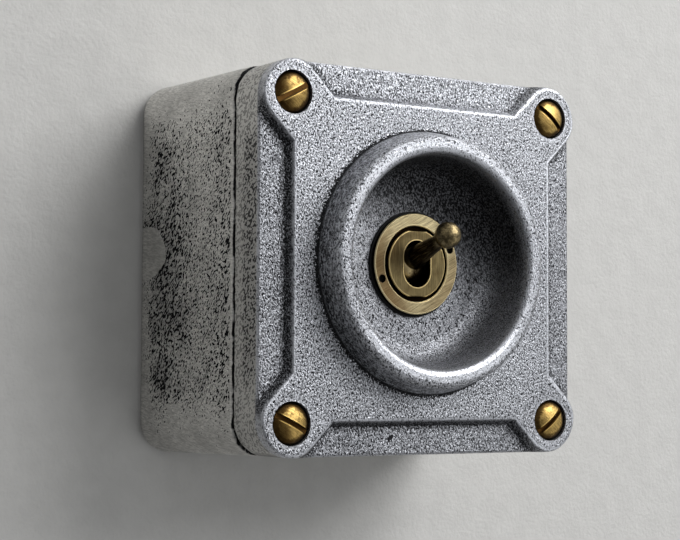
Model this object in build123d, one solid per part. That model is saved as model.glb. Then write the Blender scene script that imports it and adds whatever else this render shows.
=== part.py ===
from build123d import *
import os
from math import atan, cos, degrees, radians, sqrt, tan

# Surface conduit switch: cast box, cast cover with guard ring, brass toggle switch.
# Origin at the middle of the back face, on the wall. +Z is up, +X is right as seen
# from the front, and the front faces -Y. A "height" is a distance out from the wall.

# Box and cover outline
plate_width = 87.0
screw_edge_distance = 7.5
cover_corner_radius = 8.2
box_corner_radius = 7.0
box_depth = 44.5
box_draft = 0.65
box_wall = 4.0
box_back_rounding = 2.5
box_rim_rounding = 0.6
inner_corner_radius = 4.0
cover_depth = 12.0
cover_skin = 3.3
gasket_thickness = 1.0
gasket_inset = 1.0

# Front of the cover
panel_margin = 7.9
boss_radius = 7.3
recess_depth = 2.2
recess_slope_deg = 30.0
step_rounding = 0.5
edge_rounding = 0.6

# Guard ring and bowl
bowl_mouth_radius = 24.6
bowl_wall_lean = 2.2
bowl_depth = 6.0
bowl_cove_radius = 5.0
bowl_floor_thickness = 3.0
ring_height = 6.8
ring_crest_width = 3.6
ring_flare = 1.8
ring_outer_rounding = 1.9
ring_inner_rounding = 1.5
ring_foot_rounding = 0.8
bowl_back_rounding = 1.5

# Cover screws; slot turns are for bottom left, top left, bottom right and top right
screw_shank_radius = 2.45
screw_head_radius = 4.65
screw_head_height = 2.9
screw_dome_height = 1.5
screw_grip = 10.0
screw_slot_width = 1.2
screw_slot_depth = 1.5
screw_slot_turns_deg = (-26.5, 28.0, 40.0, -39.0)
thread_clearance = 0.05
screw_hole_clearance = 0.3
counterbore_clearance = 0.2
counterbore_depth = 3.4
tapped_run_out = 2.0
post_radius = 7.0

# Conduit entry, wall fixings and earth point in the box
entry_radius = 9.2
entry_boss_wall = 3.8
entry_thread_length = 12.0
wall_hole_spacing = 50.8
wall_hole_radius = 2.6
wall_pad_margin = 3.4
wall_pad_height = 1.5
earth_side_distance = 15.5
earth_floor_distance = 13.5
earth_boss_radius = 5.0
earth_boss_height = 8.0
earth_shank_radius = 1.95
earth_shank_length = 5.0
earth_head_radius = 3.6
earth_head_height = 1.9
earth_dome_height = 0.5
earth_slot_width = 1.0
earth_slot_depth = 1.2
earth_washer_radius = 4.4
earth_washer_thickness = 0.8

# Bush, ring nut and washers
bush_thread_radius = 8.6
bush_nose_step = 0.7
bush_flat_depth = 0.4
bush_nose_proud = 0.3
bush_shoulder_drop = 1.0
bush_nose_thickness = 1.8
bush_bore_radius = 5.6
bush_flange_margin = 2.4
bush_flange_thickness = 1.6
bush_spigot_wall = 1.6
bush_edge_rounding = 0.2
lever_slot_width = 7.5
lever_slot_height = 10.8
nut_thickness = 1.2
nut_rim_width = 2.85
nut_bore_clearance = 0.15
nut_edge_chamfer = 0.2
peg_hole_radius = 0.95
peg_hole_turn_deg = 21.0
nut_washer_thickness = 0.5
nut_washer_margin = 0.5
lock_washer_thickness = 0.6
lock_washer_inset = 0.4
bush_hole_clearance = 0.2

# Lever, its pin and its plunger; distances along the lever run from the pivot
pivot_setback = 5.05
lever_tilt_deg = 19.0
lever_length = 18.0
ball_radius = 3.0
shank_tip_radius = 1.3
shank_root_radius = 3.0
hub_clearance = 1.0
tail_radius = 2.9
tail_length = 8.6
tail_floor = 2.4
pin_radius = 1.25
pin_end_inset = 0.25
pin_press_clearance = 0.02
running_clearance = 0.05
plunger_radius = 1.7
plunger_tip_radius = 1.3
plunger_tip_reach = 13.4
plunger_seat = 6.4
plunger_taper = 0.6
spring_wire_radius = 0.25
spring_turns = 4
spring_side_clearance = 0.15

# Rocker and contacts
rocker_setback = 16.0
rocker_tilt_deg = 10.0
rocker_bend_deg = 20.0
rocker_arm_length = 10.5
rocker_width = 6.0
rocker_thickness = 1.0
trunnion_radius = 1.0
trunnion_clearance = 0.1
trunnion_overhang = 0.3
trunnion_root = 0.5
tip_reach = 9.0
tip_radius = 1.5
tip_thickness = 0.8
contact_gap = 0.2
post_width = 4.0
post_depth = 3.0
cradle_sheet = 1.0
cradle_side_clearance = 0.4
cradle_height = 6.0
cradle_lip = 1.4

# Housing, base, frame and terminals
housing_width = 25.0
housing_height = 30.0
housing_wall = 2.0
housing_front = 2.5
housing_depth = 19.5
housing_edge_radius = 1.5
tail_hole_margin = 0.7
base_thickness = 6.0
base_slot_clearance = 0.1
frame_sheet = 1.2
frame_side_clearance = 0.1
frame_plate_height = 24.0
frame_leg_width = 14.0
frame_tab_length = 3.0
block_width = 7.0
block_height = 6.4
block_depth = 6.0
wire_hole_radius = 1.6
terminal_shank_radius = 1.5
terminal_shank_length = 1.9
terminal_head_radius = 2.2
terminal_head_height = 1.2
terminal_dome_height = 0.4
terminal_slot_width = 0.7
terminal_slot_depth = 0.8

# Heights that follow from the sizes above
seam_height = box_depth + gasket_thickness
face_height = seam_height + cover_depth
recess_height = face_height - recess_depth
ceiling_height = recess_height - cover_skin
crest_height = face_height + ring_height
floor_height = face_height - bowl_depth
floor_back_height = floor_height - bowl_floor_thickness
nut_back_height = floor_height + nut_washer_thickness
nut_face_height = nut_back_height + nut_thickness
nose_height = nut_face_height + bush_nose_proud
shoulder_height = nut_face_height - bush_shoulder_drop
flange_front_height = floor_back_height - lock_washer_thickness
flange_back_height = flange_front_height - bush_flange_thickness
frame_back_height = flange_back_height - frame_sheet
housing_back_height = frame_back_height - housing_depth
base_back_height = housing_back_height - base_thickness
block_back_height = base_back_height - block_depth
pivot_height = nut_face_height - pivot_setback
rocker_height = pivot_height - rocker_setback
screw_seat_height = face_height - counterbore_depth
earth_seat_height = box_wall + earth_boss_height

# Radii and widths that follow from the sizes above
inner_width = plate_width - 2 * box_wall
screw_spacing = plate_width - 2 * screw_edge_distance
panel_width = plate_width - 2 * panel_margin
ring_crest_outer_radius = bowl_mouth_radius + ring_crest_width
ring_base_radius = ring_crest_outer_radius + ring_flare
bowl_floor_radius = bowl_mouth_radius - bowl_wall_lean
bowl_back_radius = bowl_floor_radius + bowl_floor_thickness
screw_hole_radius = screw_shank_radius + screw_hole_clearance
tapped_radius = screw_shank_radius + thread_clearance
nut_bore_radius = bush_thread_radius + nut_bore_clearance
nut_radius = nut_bore_radius + nut_rim_width
bush_hole_radius = bush_thread_radius + bush_hole_clearance
bush_nose_radius = bush_thread_radius - bush_nose_step
bush_flange_radius = bush_thread_radius + bush_flange_margin
bush_spigot_radius = bush_bore_radius + bush_spigot_wall
hub_radius = bush_bore_radius - hub_clearance
tail_bore_radius = plunger_radius + running_clearance
cradle_width = rocker_width + 2 * (cradle_side_clearance + cradle_sheet)
counterbore_radius = screw_head_radius + counterbore_clearance


def outward(sketch, low, high):
    """Extrude a sketch drawn as seen from the front between two heights off the wall."""
    return extrude(Plane.XZ.offset(low) * sketch, amount=high - low)


def turned(profile, roundings=0):
    """Revolve (radius, height) points about the switch's own axis, with rounded corners."""
    points = [(radius, -height) for radius, height in profile]
    outline = FilletPolyline(*points, radius=roundings, close=True)
    return revolve(make_face(outline), Axis.Y)


def washer(bore_radius, rim_radius, low, high):
    """Flat ring on the switch's own axis."""
    return outward(Circle(rim_radius) - Circle(bore_radius), low, high)


def side_profile(points, width):
    """Extrude a side view of (height, z) points to both sides of the middle plane."""
    outline = Polyline(*[(-height, z) for height, z in points], close=True)
    return extrude(Plane.YZ * make_face(outline), amount=width / 2, both=True)


def cross_bar(radius, length):
    """Round bar along X, centred on the origin."""
    return Rot(0, 90, 0) * Cylinder(radius, length)


def edges_at(solid, height):
    """Edges that lie wholly at one height off the wall."""
    return solid.edges().filter_by_position(Axis.Y, -height, -height)


def copies(sketch, places):
    """Copies of a sketch at (x, z) places, as seen from the front."""
    return Sketch() + [Pos(x, z) * sketch for x, z in places]


def at_height(height):
    """Place on the switch's own axis at a height off the wall."""
    return Pos(0, -height, 0)


def slotted_screw(head_radius, head_height, dome, shank_radius, shank_length, slot):
    """Domed screw with its head seated on the wall plane and its shank behind it."""
    slot_width, slot_depth, slot_turn_deg = slot
    crown_radius = (head_radius**2 + dome**2) / (2 * dome)
    top = head_height + dome
    head = outward(Circle(head_radius), 0, top) & (at_height(top - crown_radius) * Sphere(crown_radius))
    groove = Rot(0, 0, slot_turn_deg) * Rectangle(3 * head_radius, slot_width)
    return head + outward(Circle(shank_radius), -shank_length, 0) - outward(groove, top - slot_depth, top)


def make_back_box():
    """Cast box, wider at the wall, with corner posts, tapped entry, wall fixings and earth boss."""
    back_width = plate_width + 2 * box_draft
    back = RectangleRounded(back_width, back_width, box_corner_radius + box_draft)
    box = extrude(Plane.XZ * back, amount=box_depth, taper=degrees(atan(box_draft / box_depth)))
    box = fillet(edges_at(box, 0), box_back_rounding)
    box = fillet(edges_at(box, box_depth), box_rim_rounding)
    cavity = RectangleRounded(inner_width, inner_width, inner_corner_radius)
    box -= outward(cavity - copies(Circle(post_radius), corner_places), box_wall, box_depth)
    box += entry_place * Cylinder(entry_radius + entry_boss_wall, entry_thread_length)
    box -= entry_place * Cylinder(entry_radius, entry_thread_length + 2 * box_wall)
    pad_height = box_wall + wall_pad_height
    box += outward(copies(Circle(wall_hole_radius + wall_pad_margin), wall_places), box_wall, pad_height)
    box -= outward(copies(Circle(wall_hole_radius), wall_places), 0, pad_height)
    box += outward(copies(Circle(earth_boss_radius), [earth_place]), box_wall, earth_seat_height)
    earth_hole_floor = earth_seat_height - earth_shank_length - tapped_run_out
    box -= outward(copies(Circle(earth_shank_radius + thread_clearance), [earth_place]),
                   earth_hole_floor, earth_seat_height)
    tapped_floor = box_depth - screw_grip - tapped_run_out
    return box - outward(copies(Circle(tapped_radius), corner_places), tapped_floor, box_depth)


def make_cover_gasket():
    """Flat gasket frame between box and cover, set in from the edge."""
    outline = plate_width - 2 * gasket_inset
    window = RectangleRounded(inner_width, inner_width, inner_corner_radius)
    window -= copies(Circle(post_radius), corner_places)
    frame = RectangleRounded(outline, outline, cover_corner_radius - gasket_inset) - window
    return outward(frame - copies(Circle(screw_hole_radius), corner_places), box_depth, seam_height)


def make_cover_face():
    """Cover slab with its raised panel, diagonal arms and screw bosses above sloped recesses."""
    outline = RectangleRounded(plate_width, plate_width, cover_corner_radius)
    blank = outward(outline, seam_height, face_height)
    blank = fillet(edges_at(blank, face_height), edge_rounding)
    slab = outward(outline, seam_height, recess_height)
    slab = fillet(edges_at(slab, recess_height), edge_rounding)
    arm = SlotCenterToCenter(screw_spacing * sqrt(2), 2 * boss_radius)
    raised = Rectangle(panel_width, panel_width) + Rot(0, 0, 45) * arm + Rot(0, 0, -45) * arm
    relief = extrude(Plane.XZ.offset(face_height) * raised, amount=-recess_depth, taper=-recess_slope_deg)
    foot = extrude(relief.faces().sort_by(Axis.Y)[-1], amount=edge_rounding)
    relief = fillet(edges_at(relief, face_height), step_rounding)
    return slab + (foot & blank) + (relief & blank)


def make_dish():
    """Guard ring and dished bowl, turned as one form."""
    foot_radius = ring_base_radius + 2 * ring_foot_rounding
    profile = [(0, floor_height), (bowl_floor_radius, floor_height), (bowl_mouth_radius, crest_height),
               (ring_crest_outer_radius, crest_height), (ring_base_radius, face_height),
               (foot_radius, face_height), (foot_radius, ceiling_height),
               (bowl_back_radius, ceiling_height), (bowl_back_radius, floor_back_height),
               (0, floor_back_height)]
    roundings = [0, bowl_cove_radius, ring_inner_rounding, ring_outer_rounding, ring_foot_rounding,
                 0, 0, 0, bowl_back_rounding, 0]
    return turned(profile, roundings)


def make_cover_plate():
    """Cast cover: relief face, guard ring, dished bowl, hollow back and screw holes."""
    cover = make_cover_face() - outward(Circle(bowl_mouth_radius), seam_height, face_height)
    pocket = RectangleRounded(inner_width, inner_width, inner_corner_radius)
    pocket -= copies(Circle(post_radius), corner_places)
    cover -= outward(pocket, seam_height, ceiling_height)
    cover += make_dish()
    cover -= outward(Circle(bush_hole_radius), floor_back_height, floor_height)
    cover -= outward(copies(Circle(screw_hole_radius), corner_places), seam_height, face_height)
    counterbores = copies(Circle(counterbore_radius), corner_places)
    return cover - outward(counterbores, screw_seat_height, face_height)


def make_cover_screws():
    """Four slotted cover screws, each with its slot left where it was tightened."""
    shank_length = screw_seat_height - box_depth + screw_grip
    screws = []
    for (x, z), turn_deg in zip(corner_places, screw_slot_turns_deg):
        slot = (screw_slot_width, screw_slot_depth, turn_deg)
        screw = slotted_screw(screw_head_radius, screw_head_height, screw_dome_height,
                              screw_shank_radius, shank_length, slot)
        screws.append(Pos(x, -screw_seat_height, z) * screw)
    return Compound(children=screws)


def make_nut_washer():
    """Black washer between the ring nut and the bowl floor."""
    return washer(nut_bore_radius, nut_radius + nut_washer_margin, floor_height, nut_back_height)


def make_ring_nut():
    """Ring nut with two peg-spanner holes."""
    nut = washer(nut_bore_radius, nut_radius, nut_back_height, nut_face_height)
    nut = chamfer(edges_at(nut, nut_face_height), nut_edge_chamfer)
    peg_circle = (nut_bore_radius + nut_radius) / 2
    pegs = PolarLocations(peg_circle, 2, start_angle=peg_hole_turn_deg)
    holes = Sketch() + [place * Circle(peg_hole_radius) for place in pegs]
    return nut - outward(holes, nut_back_height, nut_face_height)


def make_lock_washer():
    """Washer between the bush flange and the back of the bowl floor."""
    rim_radius = bush_flange_radius - lock_washer_inset
    return washer(bush_hole_radius, rim_radius, flange_front_height, floor_back_height)


def make_switch_bush():
    """Turned bush: flatted nose with the lever slot, threaded barrel, flange and spigot."""
    flatted = Circle(bush_nose_radius) & Rectangle(plate_width, 2 * (bush_nose_radius - bush_flat_depth))
    nose = outward(flatted, shoulder_height, nose_height)
    nose = fillet(edges_at(nose, nose_height), bush_edge_rounding)
    barrel = turned([(0, frame_back_height), (bush_spigot_radius, frame_back_height),
                     (bush_spigot_radius, flange_back_height), (bush_flange_radius, flange_back_height),
                     (bush_flange_radius, flange_front_height), (bush_thread_radius, flange_front_height),
                     (bush_thread_radius, shoulder_height), (0, shoulder_height)])
    slot = SlotOverall(lever_slot_height, lever_slot_width, rotation=90)
    bore_end = nose_height - bush_nose_thickness
    bush = barrel + nose - outward(Circle(bush_bore_radius), frame_back_height, bore_end)
    bush -= outward(slot, frame_back_height, nose_height)
    pin_hole = cross_bar(pin_radius + pin_press_clearance, 2 * bush_flange_radius)
    return bush - at_height(pivot_height) * pin_hole


def make_pivot_pin():
    """Cross pin of the lever, held in the bush."""
    return at_height(pivot_height) * cross_bar(pin_radius, 2 * (bush_thread_radius - pin_end_inset))


def make_toggle_lever():
    """Ball-ended lever on a tapered shank, with a round hub and a bored tail."""
    shank = turned([(0, 0), (shank_root_radius, 0), (shank_tip_radius, lever_length), (0, lever_length)])
    lever = shank + at_height(lever_length) * Sphere(ball_radius) + Sphere(hub_radius)
    lever += outward(Circle(tail_radius), -tail_length, 0)
    lever -= outward(Circle(tail_bore_radius), -tail_length, -tail_floor)
    return lever_place * (lever - cross_bar(pin_radius + running_clearance, 2 * hub_radius))


def make_plunger():
    """Round-nosed plunger that slides in the lever's tail."""
    shoulder = plunger_tip_reach - plunger_taper
    stem = turned([(0, -plunger_seat), (plunger_radius, -plunger_seat), (plunger_radius, -shoulder),
                   (plunger_tip_radius, -plunger_tip_reach), (0, -plunger_tip_reach)])
    return lever_place * (stem + at_height(-plunger_tip_reach) * Sphere(plunger_tip_radius))


def make_plunger_spring():
    """Coil spring between the bottom of the lever's bore and the plunger."""
    coil_radius = tail_bore_radius - spring_side_clearance - spring_wire_radius
    coil_length = plunger_seat - tail_floor - 2 * (spring_wire_radius + running_clearance)
    path = Helix(coil_length / spring_turns, coil_length, coil_radius)
    wire = Plane(path @ 0, z_dir=path % 0) * Circle(spring_wire_radius)
    coil = sweep(wire, path=path, is_frenet=True)
    coil_start = tail_floor + spring_wire_radius + running_clearance
    return lever_place * at_height(-coil_start) * Rot(-90, 0, 0) * coil


def make_switch_frame():
    """Folded sheet bracket: front plate, a leg on each side and tabs under the base."""
    leg_inside = housing_width / 2 + frame_side_clearance
    leg_outside = leg_inside + frame_sheet
    front = Rectangle(2 * leg_outside, frame_plate_height) - Circle(bush_spigot_radius + thread_clearance)
    frame = outward(front, frame_back_height, flange_back_height)
    tab_height = base_back_height - frame_sheet
    for side in (-1, 1):
        leg = Pos(side * (leg_inside + frame_sheet / 2), 0) * Rectangle(frame_sheet, frame_leg_width)
        tab_middle = leg_outside - (frame_tab_length + frame_sheet) / 2
        tab = Pos(side * tab_middle, 0) * Rectangle(frame_tab_length + frame_sheet, frame_leg_width)
        frame += outward(leg, tab_height, flange_back_height)
        frame += outward(tab, tab_height, base_back_height)
    return frame


def make_switch_housing():
    """Moulded case, open at the back, with a hole for the lever's tail."""
    case = outward(RectangleRounded(housing_width, housing_height, housing_edge_radius),
                   housing_back_height, frame_back_height)
    inside = Rectangle(housing_width - 2 * housing_wall, housing_height - 2 * housing_wall)
    case -= outward(inside, housing_back_height, frame_back_height - housing_front)
    tail_hole = Circle(bush_bore_radius + tail_hole_margin)
    return case - outward(tail_hole, housing_back_height, frame_back_height)


def make_terminal_base():
    """Moulded base plate with a slot for each terminal's stem."""
    base = RectangleRounded(housing_width, housing_height, housing_edge_radius)
    slot = Rectangle(post_width + 2 * base_slot_clearance, post_depth + 2 * base_slot_clearance)
    return outward(base - copies(slot, terminal_places), base_back_height, housing_back_height)


def make_rocker():
    """See-saw contact strip, bent to a V, with a trunnion on each edge."""
    arm = Rot(rocker_bend_deg, 0, 0) * Pos(0, 0, rocker_arm_length / 2) \
        * Box(rocker_width, rocker_thickness, rocker_arm_length)
    strip = arm + mirror(arm, about=Plane.XY)
    stub_length = trunnion_root + cradle_side_clearance + cradle_sheet + trunnion_overhang
    stub_middle = rocker_width / 2 - trunnion_root + stub_length / 2
    for side in (-1, 1):
        strip += Pos(side * stub_middle, 0, 0) * cross_bar(trunnion_radius, stub_length)
    return rocker_place * strip


def make_rocker_tips():
    """Contact rivet heads on the wall side of the rocker's arms."""
    tip = Rot(rocker_bend_deg, 0, 0) * Pos(0, (rocker_thickness + tip_thickness) / 2, tip_reach) \
        * Rot(90, 0, 0) * Cylinder(tip_radius, tip_thickness)
    return Compound(children=[rocker_place * tip, rocker_place * mirror(tip, about=Plane.XY)])


def make_fixed_tips():
    """Contact rivet heads on the fixed contacts, facing the closed rocker arm."""
    tip = at_height(rocker_height) * Rot(contact_lean_deg, 0, 0) \
        * Pos(0, fixed_tip_seat - tip_thickness / 2, tip_reach) \
        * Rot(90, 0, 0) * Cylinder(tip_radius, tip_thickness)
    return Compound(children=[tip, mirror(tip, about=Plane.XY)])


def terminal_block(z):
    """Wire block behind the base, with its wire hole and screw hole."""
    block = outward(Pos(0, z) * Rectangle(block_width, block_height), block_back_height, base_back_height)
    wire_height = (block_back_height + base_back_height) / 2
    block -= Pos(0, -wire_height, z) * cross_bar(wire_hole_radius, block_width)
    screw_hole = Pos(0, z) * Circle(terminal_shank_radius + thread_clearance)
    return block - outward(screw_hole, block_back_height, wire_height)


def make_upper_terminal():
    """Fixed contact post with a sloped seat for its tip, and its wire block."""
    inner_z = contact_z - post_depth / 2
    outer_z = contact_z + post_depth / 2
    slope = tan(radians(contact_lean_deg))
    seat_drop = fixed_tip_seat / cos(radians(contact_lean_deg))
    post = side_profile([(base_back_height, inner_z), (base_back_height, outer_z),
                         (rocker_height - seat_drop + outer_z * slope, outer_z),
                         (rocker_height - seat_drop + inner_z * slope, inner_z)], post_width)
    return post + terminal_block(contact_z)


def make_lower_terminal():
    """Mirror of the upper fixed contact."""
    return mirror(make_upper_terminal(), about=Plane.XY)


def make_common_terminal():
    """Cradle with two notched cheeks for the rocker's trunnions, stem and wire block."""
    top_height = rocker_height + cradle_lip
    floor = Rectangle(cradle_width, cradle_height)
    cradle = outward(floor, housing_back_height, housing_back_height + cradle_sheet)
    for side in (-1, 1):
        cheek = Pos(side * (cradle_width - cradle_sheet) / 2, 0) * Rectangle(cradle_sheet, cradle_height)
        cradle += outward(cheek, housing_back_height, top_height)
    notch_radius = trunnion_radius + trunnion_clearance
    cradle -= at_height(rocker_height) * cross_bar(notch_radius, cradle_width)
    cradle -= outward(Rectangle(cradle_width, 2 * notch_radius), rocker_height, top_height)
    stem = outward(Rectangle(post_width, post_depth), base_back_height, housing_back_height)
    return cradle + stem + terminal_block(0)


def make_terminal_screws():
    """Wire clamping screws, driven in from behind the base."""
    slot = (terminal_slot_width, terminal_slot_depth, 0)
    screw = slotted_screw(terminal_head_radius, terminal_head_height, terminal_dome_height,
                          terminal_shank_radius, terminal_shank_length, slot)
    facing_back = Rot(0, 0, 180) * screw
    return Compound(children=[Pos(x, -block_back_height, z) * facing_back for x, z in terminal_places])


def make_earth_screw():
    """Earth terminal screw on its boss."""
    slot = (earth_slot_width, earth_slot_depth, 0)
    screw = slotted_screw(earth_head_radius, earth_head_height, earth_dome_height,
                          earth_shank_radius, earth_shank_length + earth_washer_thickness, slot)
    x, z = earth_place
    return Pos(x, -earth_seat_height - earth_washer_thickness, z) * screw


def make_earth_washer():
    """Washer under the earth screw."""
    x, z = earth_place
    ring = washer(earth_shank_radius + screw_hole_clearance, earth_washer_radius,
                  earth_seat_height, earth_seat_height + earth_washer_thickness)
    return Pos(x, 0, z) * ring


# Places in the front view as (x, z), and places of the moving pieces at rest
corner_places = [(x, z) for x in (-screw_spacing / 2, screw_spacing / 2)
                 for z in (-screw_spacing / 2, screw_spacing / 2)]
wall_places = [(-wall_hole_spacing / 2, 0), (wall_hole_spacing / 2, 0)]
earth_place = (inner_width / 2 - earth_side_distance, earth_floor_distance - inner_width / 2)
contact_lean_deg = rocker_bend_deg - rocker_tilt_deg
fixed_tip_seat = rocker_thickness / 2 + 2 * tip_thickness + contact_gap
contact_z = tip_reach * cos(radians(contact_lean_deg))
terminal_places = [(0, -contact_z), (0, 0), (0, contact_z)]
entry_place = Pos(0, -(box_wall + box_depth) / 2, (plate_width - entry_thread_length) / 2)
lever_place = at_height(pivot_height) * Rot(-lever_tilt_deg, 0, 0)
rocker_place = at_height(rocker_height) * Rot(rocker_tilt_deg, 0, 0)

NODES = {
    "back_box": make_back_box,
    "cover_gasket": make_cover_gasket,
    "cover_plate": make_cover_plate,
    "cover_screws": make_cover_screws,
    "nut_washer": make_nut_washer,
    "ring_nut": make_ring_nut,
    "lock_washer": make_lock_washer,
    "switch_bush": make_switch_bush,
    "pivot_pin": make_pivot_pin,
    "toggle_lever": make_toggle_lever,
    "plunger": make_plunger,
    "plunger_spring": make_plunger_spring,
    "switch_frame": make_switch_frame,
    "switch_housing": make_switch_housing,
    "terminal_base": make_terminal_base,
    "rocker": make_rocker,
    "rocker_tips": make_rocker_tips,
    "fixed_tips": make_fixed_tips,
    "common_terminal": make_common_terminal,
    "upper_terminal": make_upper_terminal,
    "lower_terminal": make_lower_terminal,
    "terminal_screws": make_terminal_screws,
    "earth_screw": make_earth_screw,
    "earth_washer": make_earth_washer,
}

os.makedirs("parts", exist_ok=True)
for name, make in NODES.items():
    export_step(make(), f"parts/{name}.step")
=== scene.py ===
"""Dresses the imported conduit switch: cast metal, brass, screws, threads, stage and camera."""
from math import cos, pi, radians, sin, sqrt
from types import SimpleNamespace

import bmesh
import bpy
from bpy.props import FloatProperty, FloatVectorProperty, PointerProperty
from mathutils import Euler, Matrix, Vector


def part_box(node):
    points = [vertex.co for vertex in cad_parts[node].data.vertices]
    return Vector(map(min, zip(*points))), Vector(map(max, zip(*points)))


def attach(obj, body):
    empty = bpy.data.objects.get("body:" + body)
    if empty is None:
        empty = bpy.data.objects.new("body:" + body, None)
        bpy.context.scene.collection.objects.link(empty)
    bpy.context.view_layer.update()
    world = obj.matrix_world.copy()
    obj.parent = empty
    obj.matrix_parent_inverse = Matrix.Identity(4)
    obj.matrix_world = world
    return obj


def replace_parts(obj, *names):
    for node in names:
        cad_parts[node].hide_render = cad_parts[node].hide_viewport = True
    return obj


bl_info = {
    "name": "Conduit switch dresser",
    "version": (1, 0, 0),
    "blender": (4, 5, 0),
    "location": "View3D > Sidebar > Switch",
    "description": "Finishes, cover screws, threads and stage for a surface conduit switch",
    "category": "Object",
}

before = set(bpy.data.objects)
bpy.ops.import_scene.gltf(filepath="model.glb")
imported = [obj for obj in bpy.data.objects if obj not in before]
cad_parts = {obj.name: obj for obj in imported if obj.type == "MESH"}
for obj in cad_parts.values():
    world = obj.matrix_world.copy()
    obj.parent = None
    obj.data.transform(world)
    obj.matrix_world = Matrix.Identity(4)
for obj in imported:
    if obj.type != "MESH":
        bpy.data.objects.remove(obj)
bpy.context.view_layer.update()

# Lengths in the finishes are millimetres; the frame is in metres
MM = 1000.0
ROOT_TWO = sqrt(2)
COVER_LOW, COVER_HIGH = (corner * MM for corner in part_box("cover_plate"))
NUT_LOW, NUT_HIGH = (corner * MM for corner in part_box("ring_nut"))
SCREWS_LOW, SCREWS_HIGH = (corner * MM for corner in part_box("cover_screws"))

# Castings, as the solids have them; heights are distances out from the wall
COVER_HALF = COVER_HIGH.x
CORNER_RADIUS = 8.2
CREST_HEIGHT = -COVER_LOW.y
SEAM_HEIGHT = -COVER_HIGH.y
BOX_RIM_HEIGHT = -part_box("back_box")[0].y * MM
RING_RISE = 6.8
FACE_HEIGHT = CREST_HEIGHT - RING_RISE
PANEL_INSET = 7.9
PANEL_HALF = COVER_HALF - PANEL_INSET
STEP_RUN = 1.27
BOX_BACK = 4.0
BOWL_MOUTH_RADIUS = 24.6
CREST_OUTER_RADIUS = 28.2
RING_BASE_RADIUS = 30.0

# Corner bosses and their screws
BOSS_RADIUS = 7.3
SCREW_INSET = 7.5
SCREW_HALF = COVER_HALF - SCREW_INSET
COUNTERBORE_RADIUS = 4.85
COUNTERBORE_DEPTH = 3.4
SCREW_SEAT_HEIGHT = FACE_HEIGHT - COUNTERBORE_DEPTH
SCREW_HEAD_TOTAL = -SCREWS_LOW.y - SCREW_SEAT_HEIGHT
SCREW_SHANK_LENGTH = SCREW_SEAT_HEIGHT + SCREWS_HIGH.y

# Nut, washer, bush and lever
NUT_RADIUS = NUT_HIGH.x
NUT_WALL = 2.85
NUT_BORE_RADIUS = NUT_RADIUS - NUT_WALL
NUT_FACE_HEIGHT = -NUT_LOW.y
WASHER_BRIM = 0.5
WASHER_RADIUS = NUT_RADIUS + WASHER_BRIM
NOSE_RADIUS = 7.9
SLOT_HALF_WIDTH = 3.75
SLOT_STRAIGHT_HALF = 1.65
BALL_DIAMETER = 6.4
BALL_BACK_HEIGHT = -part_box("toggle_lever")[0].y * MM - BALL_DIAMETER

# Marks on the castings: a flaw at x and z, and a bare patch at a height and z
FLAW_PLACE = (-8.6, -39.5)
BARE_PATCH = (1.0, 3.2)
# Sooty spots on the box: height and z, squash both ways, inner and outer reach, strength
SOOT_SPOTS = ((14.0, -2.0, 0.9, 0.55, 3.0, 17.0, 1.0), (13.0, -26.0, 1.0, 0.8, 1.0, 8.0, 1.1),
              (11.0, 25.0, 1.0, 0.9, 1.0, 8.0, 0.8))

# Lean of the grain on the front of the cover in degrees
GRAIN_LEAN = (0.0, -18.0, 0.0)

# Inner metals: colour, spots and the pieces made of them
INNER_METALS = {
    "zinc_steel": ((0.50, 0.50, 0.48), (0.20, 0.19, 0.17), (
        "lock_washer", "pivot_pin", "plunger_spring", "switch_frame")),
    "contact_brass": ((0.60, 0.44, 0.19), (0.20, 0.12, 0.05), (
        "plunger", "rocker", "common_terminal", "upper_terminal", "lower_terminal")),
    "contact_silver": ((0.74, 0.73, 0.70), (0.30, 0.29, 0.27), ("rocker_tips", "fixed_tips")),
    "terminal_brass": ((0.58, 0.40, 0.14), (0.16, 0.09, 0.03), (
        "terminal_screws", "earth_screw", "earth_washer")),
}

# Black of the seals and browns of the mouldings
GASKET_BLACK = (0.006, 0.006, 0.006)
WASHER_BLACK = (0.004, 0.004, 0.004)
MOULDING_DARK = (0.030, 0.019, 0.013)
MOULDING_PALE = (0.075, 0.045, 0.028)

# Threads: steps in one turn and sides of the ridge
STEPS_PER_TURN = 32
RIDGE_SIDES = 4

# Wall: gap behind the box in metres, size in windows, lap over the window in mm, steps round a corner
WALL_GAP = 0.0002
WALL_GROWTH = 36.0
WINDOW_LAP = 0.5
CORNER_STEPS = 6

# Lamps in metres: the place they point at, then the width of each and its place from there
LAMP_AIM = Vector((0.0, -0.03, 0.0))
LAMPS = {
    "key": (1.0, (0.64, -1.00, 0.74)),
    "top": (0.4, (0.45, -0.28, 0.74)),
    "sheen": (0.25, (0.74, -0.62, 0.46)),
    "fill": (0.8, (-0.85, -0.45, 0.30)),
    "low": (1.0, (0.65, -0.80, -0.85)),
}

# Room light: the ways it comes from, where along them it starts and is full, and its tint
BRIGHT_WAY = (0.62, -0.42, 0.66)
BRIGHT_SPREAD = (-0.8, 0.9)
REAR_WAY = (0.0, 1.0, 0.0)
REAR_SPREAD = (0.0, 0.4)
ROOM_TINT = (0.96, 0.98, 1.0, 1.0)

# Camera in metres, degrees and millimetres of sensor
CAMERA_PLACE = (-0.23845, -0.38520, -0.02516)
CAMERA_TURN_DEG = (93.32, -0.25, -33.24)
SENSOR_WIDTH = 36.0


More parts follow.
